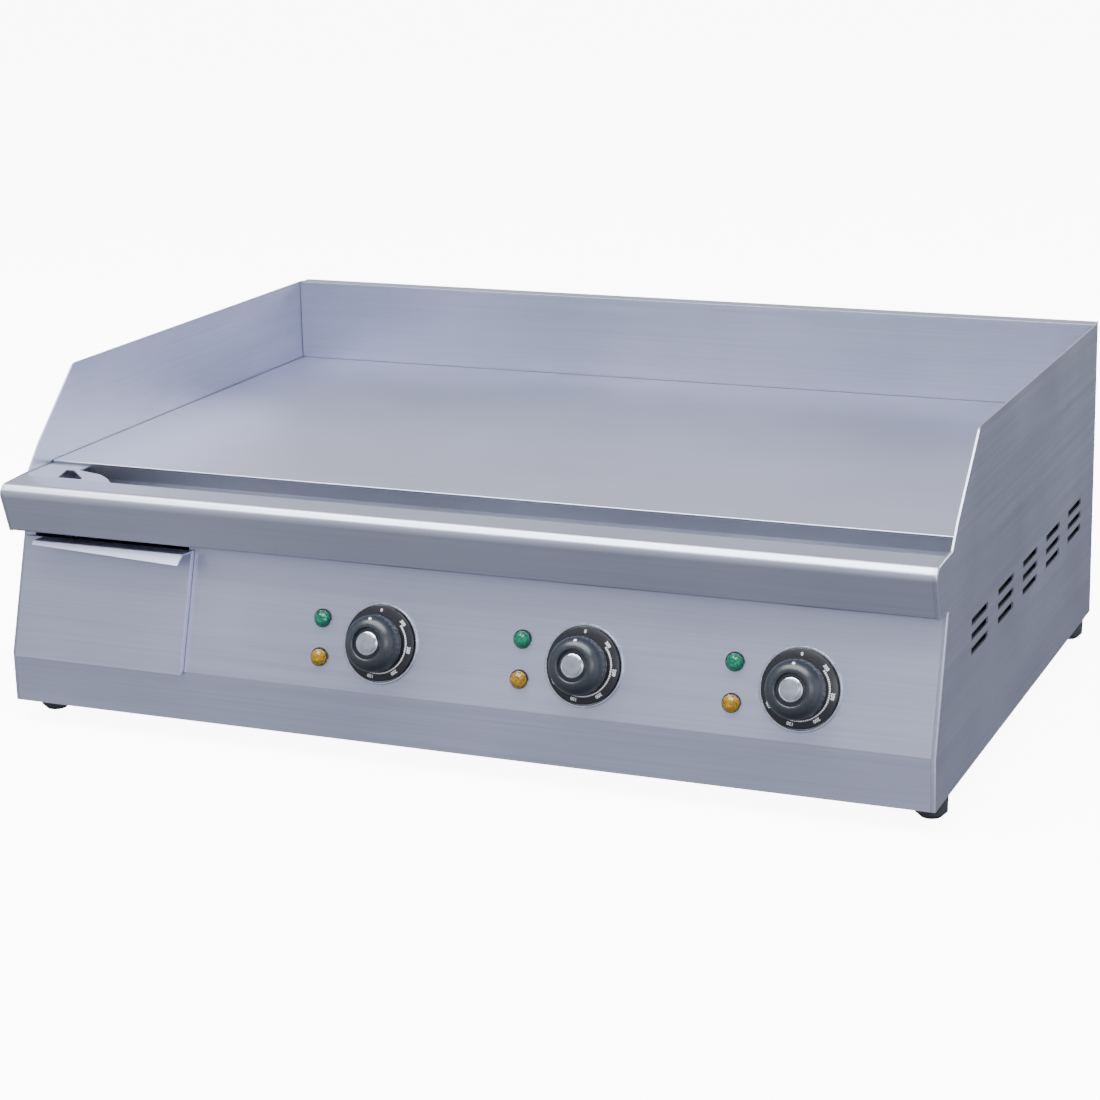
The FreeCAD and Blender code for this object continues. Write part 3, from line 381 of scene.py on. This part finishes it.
def grip_profile():
    """The grip: a narrow foot, a belly, and a crown that rolls over into the button's dish."""
    belly = smooth_run([(19.5, 5.2), (20.3, 7.0), (21.5, 9.6), (22.05, 12.4), (21.95, 15.2),
                        (21.3, 18.2), (19.9, 21.2), (17.8, 23.7), (15.2, 25.3), (13.3, 25.8),
                        (12.2, 25.4), (11.7, 24.6)])
    return in_mm([(3.2, 5.2)] + belly + [(11.6, DISH_FLOOR), (3.2, DISH_FLOOR)])


def grip_flutes(angle, radius, height):
    """Shallow finger flutes round the belly, fading out at the foot and the crown."""
    rise = (height / MM - FLUTE_START) / FLUTE_RUN
    if not 0 < rise < 1 or radius < 19 * MM:
        return radius
    depth = FLUTE_DEPTH * MM * math.sin(math.pi * rise)
    return radius - depth * (0.5 + 0.5 * math.cos(FLUTES * angle))


def cap_profile():
    """A domed metal button with one turned groove near its rim."""
    radius, foot, rise = 9.3, 24.6, 2.6

    def dome(*angles):
        return [(radius * math.sin(math.radians(a)), foot + rise * math.cos(math.radians(a)))
                for a in angles]

    wall = [(radius, DISH_FLOOR), (radius, 24.4)]
    groove = [(7.7, 25.75), (7.35, 25.75)]
    return in_mm(wall + dome(84, 76, 68, 60) + groove + dome(49, 42, 35, 28, 21, 14, 7, 0))


def dial_text(words, radius_mm, clockwise, size_mm):
    """A figure printed on the skirt, its foot towards the middle, clockwise from the top."""
    curve = bpy.data.curves.new("figure", "FONT")
    curve.body = words
    curve.size = size_mm * MM
    curve.align_x = "CENTER"
    curve.align_y = "CENTER"
    curve.extrude = 0.02 * MM
    curve.offset = 0.1 * MM
    holder = bpy.data.objects.new("figure", curve)
    bpy.context.scene.collection.objects.link(holder)
    bpy.context.view_layer.update()
    mesh = bpy.data.meshes.new_from_object(holder.evaluated_get(
        bpy.context.evaluated_depsgraph_get()))
    bpy.data.objects.remove(holder)
    lean = math.atan2(SKIRT_TOP - SKIRT_EDGE, SKIRT_RADIUS - GRIP_FOOT)
    height = dial_height(radius_mm) + 0.08
    mesh.transform(Matrix.Rotation(-lean, 4, "X"))
    mesh.transform(Matrix.Translation((0, radius_mm * MM, height * MM)))
    mesh.transform(Matrix.Rotation(-math.radians(clockwise), 4, "Z"))
    return mesh


def dial_height(radius_mm):
    """The height of the skirt's cone at a radius, both in millimetres."""
    slope = (SKIRT_TOP - SKIRT_EDGE) / (SKIRT_RADIUS - GRIP_FOOT)
    return SKIRT_EDGE + (SKIRT_RADIUS - radius_mm) * slope


def dial_wedge():
    """The printed heat scale: a band that swells towards the hottest figure, cut into dashes."""
    shape = bmesh.new()
    cool, hot, dashes, inner = 238.0, 47.0, 46, SCALE_RADIUS
    for dash in range(dashes):
        a = cool + (hot - cool) * dash / dashes
        b = cool + (hot - cool) * (dash + 0.66) / dashes
        swell = 0.6 + 0.8 * dash / dashes
        corners = []
        for turn, radius in ((a, inner), (a, inner + swell), (b, inner + swell), (b, inner)):
            angle = math.radians(90 - turn)
            corners.append(shape.verts.new((radius * MM * math.cos(angle),
                                            radius * MM * math.sin(angle),
                                            (dial_height(radius) + 0.1) * MM)))
        shape.faces.new(corners)
    return shape


def make_knob(control):
    # the joint's point lies on the panel's face, so every piece of the knob is drawn from there
    origin, body = knob_origin(control), f"knob_{control}_turn"
    skirt = mesh_piece(f"knob_skirt_{control}", turned(skirt_profile(), 160), SKIRT_BLACK, 30)
    set_on_panel(skirt, origin, body)
    grip = mesh_piece(f"knob_grip_{control}", turned(grip_profile(), 216, grip_flutes),
                      GRIP_SLATE, 40)
    set_on_panel(grip, origin, body)
    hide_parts(f"knob_{control}")
    cap = mesh_piece(f"knob_button_{control}", turned(cap_profile(), 96), CAP_CHROME, 28)
    set_on_panel(cap, origin, body)
    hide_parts(f"knob_cap_{control}")
    print_shape = dial_wedge()
    for words, clockwise in FIGURES:
        print_shape.from_mesh(dial_text(words, FIGURE_RADIUS, clockwise, FIGURE_SIZE))
    dot = bmesh.ops.create_cone(print_shape, cap_ends=True, segments=20,
                                radius1=DOT_FOOT * MM, radius2=DOT_FACE * MM,
                                depth=DOT_DEPTH * MM)
    # the white dot is let into the roll of the crown, so it leans out with it
    lean = Matrix.Rotation(math.radians(-DOT_LEAN), 4, "X")
    for vert in dot["verts"]:
        vert.co = lean @ vert.co + Vector((0, DOT_OUT * MM, DOT_UP * MM))
    ink = mesh_piece(f"dial_print_{control}", print_shape, DIAL_INK)
    set_on_panel(ink, origin, body)


def make_bezel(control):
    ring = in_mm([(29.15, 0.05), (31.15, 0.05)] + arc((30.55, 1.1), 0.6, 0, 90, 5)
                 + arc((29.75, 1.2), 0.5, 90, 180, 4) + [(29.15, 0.05)])
    bezel = mesh_piece(f"skirt_ring_{control}", turned(ring, 128), BEZEL_CHROME)
    set_on_panel(bezel, knob_origin(control), "housing")
    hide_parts(f"skirt_bezel_{control}")


# ---------------------------------------------------------------- lamps

def lamp_origin(colour, control):
    """The point of the panel's face that lies straight under a lamp's lens."""
    low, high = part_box(f"lamp_lens_{colour}_{control}")
    middle = (low + high) / 2
    knob = knob_origin(control)
    return middle - OUTWARD * (middle - knob).dot(OUTWARD)


# in millimetres, but for the last two, which are shares of the lens's radius
LENS_RADIUS, LENS_COLLAR, LENS_CROWN, LENS_TABLE = 6.55, (1.3, 2.5), 4.8, 6.3
CROWN_SHARE, TABLE_SHARE = 0.80, 0.46


def jewel(radius, collar, crown, table, sides=10):
    """A cut lens: an upright collar, a row of kites and triangles, and a flat table."""
    shape = bmesh.new()

    def ring(reach, height, shift):
        spots = []
        for side in range(sides):
            angle = 2 * math.pi * (side + shift) / sides
            spots.append(shape.verts.new((reach * math.cos(angle) * MM,
                                          reach * math.sin(angle) * MM, height * MM)))
        return spots

    foot = ring(radius, collar[0], 0)
    girdle = ring(radius, collar[1], 0)
    middle = ring(radius * CROWN_SHARE, crown, 0.5)
    top = ring(radius * TABLE_SHARE, table, 0)
    for side in range(sides):
        after = (side + 1) % sides
        shape.faces.new((foot[side], foot[after], girdle[after], girdle[side]))
        shape.faces.new((girdle[side], girdle[after], middle[side]))
        shape.faces.new((girdle[after], middle[after], middle[side]))
        shape.faces.new((middle[side], middle[after], top[after]))
        shape.faces.new((middle[side], top[after], top[side]))
    shape.faces.new(top)
    shape.faces.new(foot)
    return shape


def make_lamp(colour, control, material):
    origin = lamp_origin(colour, control)
    cut = jewel(LENS_RADIUS, LENS_COLLAR, LENS_CROWN, LENS_TABLE)
    lens = mesh_piece(f"jewel_{colour}_{control}", cut, material, 5)
    set_on_panel(lens, origin, "housing")
    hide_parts(f"lamp_lens_{colour}_{control}")
    ring = in_mm([(6.6, 0.1), (7.15, 0.1)] + arc((6.95, 1.15), 0.2, 0, 90, 3)
                 + [(6.6, 1.4), (6.6, 0.1)])
    rim = mesh_piece(f"lamp_rim_{colour}_{control}", turned(ring, 64), BEZEL_CHROME)
    set_on_panel(rim, origin, "housing")


for control in CONTROLS:
    make_knob(control)
    make_bezel(control)
    make_lamp("green", control, GREEN_LENS)
    make_lamp("amber", control, AMBER_LENS)


# ---------------------------------------------------------------- screws and rating plate

RATING_FOIL = speckled("rating_foil", "#B4B7BE", "#AEB1B8", 1.5, 0.03, Metallic=1.0, Roughness=0.5)
SCREW_ZINC = speckled("screw_zinc", "#A8ABB3", "#90939B", 3, 0.05, Metallic=1.0, Roughness=0.35)


def pan_head():
    """A small pan head screw with a cross recess, its seat at height nought."""
    head = [(3.5, 0.0), (3.5, 0.7)] + arc((2.4, 0.7), 1.1, 10, 80, 5) + [(0.0, 1.8)]
    shape = turned(in_mm(head), 40)
    for turn in (0, 90):
        slot = bmesh.ops.create_cube(shape, size=1.0)
        size = Matrix.Diagonal((3.2 * MM, 0.7 * MM, 0.12 * MM, 1))
        for vert in slot["verts"]:
            vert.co = Matrix.Rotation(math.radians(turn + 45), 4, "Z") @ (size @ vert.co)
            vert.co.z += 1.78 * MM
    return shape


def on_back(piece, x, z):
    """Puts a piece drawn flat, facing up, on the outside of the back panel."""
    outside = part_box("back_panel")[1].y
    turn = Matrix((Vector((-1, 0, 0)), Vector((0, 0, 1)), Vector((0, 1, 0)))).transposed()
    piece.data.transform(Matrix.Translation((x, outside, z)) @ turn.to_4x4())
    piece.data.update()
    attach(piece, "housing")


def make_back_screws():
    """Two rows of five screws along the back panel's lower and upper edges."""
    low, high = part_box("back_panel")
    inset = 12 * MM
    across = [low.x + inset + (high.x - low.x - 2 * inset) * step / 4 for step in range(5)]
    for row, z in (("low", low.z + inset), ("high", high.z - inset)):
        for number, x in enumerate(across, start=1):
            screw = mesh_piece(f"back_screw_{row}_{number}", pan_head(), SCREW_ZINC, 30)
            on_back(screw, x, z)


def make_rating_plate():
    """A blank foil plate with rounded corners, where the maker's rating would be."""
    half_long, half_high, corner, thickness = 32, 18, 3, 0.4
    foil = bmesh.new()
    outline = []
    for cx, cy, start in ((half_long, half_high, 0), (-half_long, half_high, 90),
                          (-half_long, -half_high, 180), (half_long, -half_high, 270)):
        outline += arc((cx, cy), corner, start, start + 90, 5)
    face = foil.faces.new([foil.verts.new((x * MM, y * MM, 0.0)) for x, y in outline])
    raised = bmesh.ops.extrude_face_region(foil, geom=[face])
    for item in raised["geom"]:
        if isinstance(item, bmesh.types.BMVert):
            item.co.z = thickness * MM
    plate = mesh_piece("rating_plate", foil, RATING_FOIL, 30)
    on_back(plate, -290 * MM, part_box("back_panel")[0].z + 45 * MM)


make_back_screws()
make_rating_plate()


# ---------------------------------------------------------------- vent shade sheets

# painted shade: black paint for the sheet behind the vents, standing in for the dark inside
VENT_SHADE_BLACK = speckled("vent_shade_paint", "#17181B", "#101113", 2, 0.1, Roughness=0.7)


def make_vent_shade_sheet(side):
    """A shallow folded sheet, black, just inside a side panel behind the vents: painted shade,
    standing in for the dark inside of the housing seen through the slots. It ends short of the
    panel's front and back."""
    low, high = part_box(f"side_panel_{side}")
    hand = 1 if high.x > 0 else -1
    wall = 1.6 * MM  # the side panel's sheet and a little air
    inner_face = max(abs(low.x), abs(high.x)) - wall
    # how far in from the panel, and how high above its foot
    outside = [(0.2, 79), (3.6, 84), (3.6, 118), (0.2, 123)]
    inside = [(0.2, 80.2), (3.0, 84.3), (3.0, 117.7), (0.2, 121.8)]
    section = in_mm(outside + inside[::-1])
    shape = bmesh.new()
    ends = []
    # from ahead of the first vent to behind the last
    for y in (low.y + 92 * MM, low.y + 485 * MM):
        ends.append([shape.verts.new((hand * (inner_face - x), y, low.z + z))
                     for x, z in section])
    shape.faces.new(ends[0])
    shape.faces.new(ends[1])
    count = len(section)
    for corner in range(count):
        after = (corner + 1) % count
        shape.faces.new((ends[0][corner], ends[0][after], ends[1][after], ends[1][corner]))
    shade_sheet = mesh_piece(f"vent_shade_sheet_{side}", shape, VENT_SHADE_BLACK, 20)
    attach(shade_sheet, "housing")


for side in ("left", "right"):
    make_vent_shade_sheet(side)


# ---------------------------------------------------------------- studio

def make_floor():
    """A flat white paper floor, lit through from below like a light table so that it shows no
    shadow.  Its glow is masked off the griddle, which mirrors only the room and the softboxes."""
    shape = bmesh.new()
    half = 14.0  # metres, far enough to reach past the frame
    shape.faces.new([shape.verts.new((x * half, y * half, 0))
                     for x, y in ((-1, -1), (1, -1), (1, 1), (-1, 1))])
    floor = mesh_piece("studio_floor", shape, FLOOR_PAPER, 60)
    floor.visible_glossy = False
    floor.visible_diffuse = False


def make_light(name, place, target, width, height, watts):
    lamp = bpy.data.lights.new(name, "AREA")
    lamp.shape = "RECTANGLE"
    lamp.size, lamp.size_y = width, height
    lamp.energy = watts
    holder = bpy.data.objects.new(name, lamp)
    bpy.context.scene.collection.objects.link(holder)
    holder.location = place
    aim = Vector(target) - Vector(place)
    holder.rotation_euler = aim.to_track_quat("-Z", "Y").to_euler()
    return holder


def make_camera():
    """A long lens to the right of the griddle's middle, looking down at it a little."""
    yaw, pitch, roll = (math.radians(angle) for angle in (-22.876, 14.194, -1.186))
    forward = Vector((math.sin(yaw) * math.cos(pitch), math.cos(yaw) * math.cos(pitch),
                      -math.sin(pitch)))
    level = Vector((math.cos(yaw), -math.sin(yaw), 0))
    over = level.cross(forward)
    right = level * math.cos(roll) + over * math.sin(roll)
    up = over * math.cos(roll) - level * math.sin(roll)
    lens = bpy.data.cameras.new("camera")
    lens.sensor_width = 36
    lens.lens = 89.81
    lens.shift_x, lens.shift_y = -0.0043, -0.0585
    lens.clip_end = 60
    holder = bpy.data.objects.new("camera", lens)
    bpy.context.scene.collection.objects.link(holder)
    turn = Matrix((right, up, -forward)).transposed().to_4x4()
    holder.matrix_world = Matrix.Translation((0.84212, -2.02858, 0.718)) @ turn
    bpy.context.scene.camera = holder


def height_ramp(tree, height, steps):
    """Colours from straight down (0) over the horizon (0.5) to straight up (1)."""
    glow = add(tree, "ShaderNodeValToRGB", None, {"Fac": height})
    ramp = glow.color_ramp
    for place, colour in steps:
        ramp.elements.new(place).color = linear(colour)
    ramp.elements.remove(ramp.elements[0])
    ramp.elements.remove(ramp.elements[-1])
    return glow.outputs["Color"]


def make_world():
    """A soft white room: its front half pale down to the ground, its back half with a dark
    floor and a bright wall, and a tall white wall at the right."""
    world = bpy.data.worlds.new("studio")
    world.use_nodes = True
    tree = world.node_tree
    place = add(tree, "ShaderNodeTexCoord").outputs["Generated"]
    parts = add(tree, "ShaderNodeSeparateXYZ", None, {"Vector": place})
    height = add(tree, "ShaderNodeMapRange", {"From Min": -1.0, "From Max": 1.0},
                 {"Value": parts.outputs["Z"]}).outputs["Result"]
    front = height_ramp(tree, height, ((0.02, "#6E717C"), (0.12, "#A8ABB6"), (0.2, "#BDC0CA"),
                                       (0.38, "#CFD2DB"), (0.49, "#D8DBE4"), (0.53, "#E2E5EE"),
                                       (0.8, "#E4E8F2")))
    back = height_ramp(tree, height, ((0.1, "#70737F"), (0.3, "#7D818E"), (0.44, "#989CA9"),
                                      (0.5, "#E0E3EC"), (0.54, "#FFFFFF"), (0.68, "#F4F6FB"),
                                      (0.85, "#E4E8F2")))
    behind = add(tree, "ShaderNodeMapRange", {"From Min": -0.25, "From Max": 0.45},
                 {"Value": parts.outputs["Y"]})
    room = add(tree, "ShaderNodeMix", {"data_type": "RGBA"},
               {"Factor": behind.outputs["Result"], FIRST_COLOUR: front, SECOND_COLOUR: back})
    right = add(tree, "ShaderNodeMapRange",
                {"From Min": 0.7, "From Max": 0.92, "To Min": 1.0, "To Max": 2.2},
                {"Value": parts.outputs["X"]})
    world_shade = tree.nodes["Background"]
    tree.links.new(room.outputs[MIXED_COLOUR], world_shade.inputs["Color"])
    tree.links.new(right.outputs["Result"], world_shade.inputs["Strength"])
    bpy.context.scene.world = world


make_floor()
make_light("overhead_softbox", (-0.2, -0.85, 2.6), (0, -0.15, 0.15), 3.4, 1.5, 180)
make_light("camera_side_softbox", (2.3, -3.5, 1.45), (0, 0, 0.2), 2.0, 1.4, 45)
make_light("back_softbox", (2.6, 4.2, 1.5), (0, 0, 0.2), 3.6, 1.3, 95)
make_world()
make_camera()
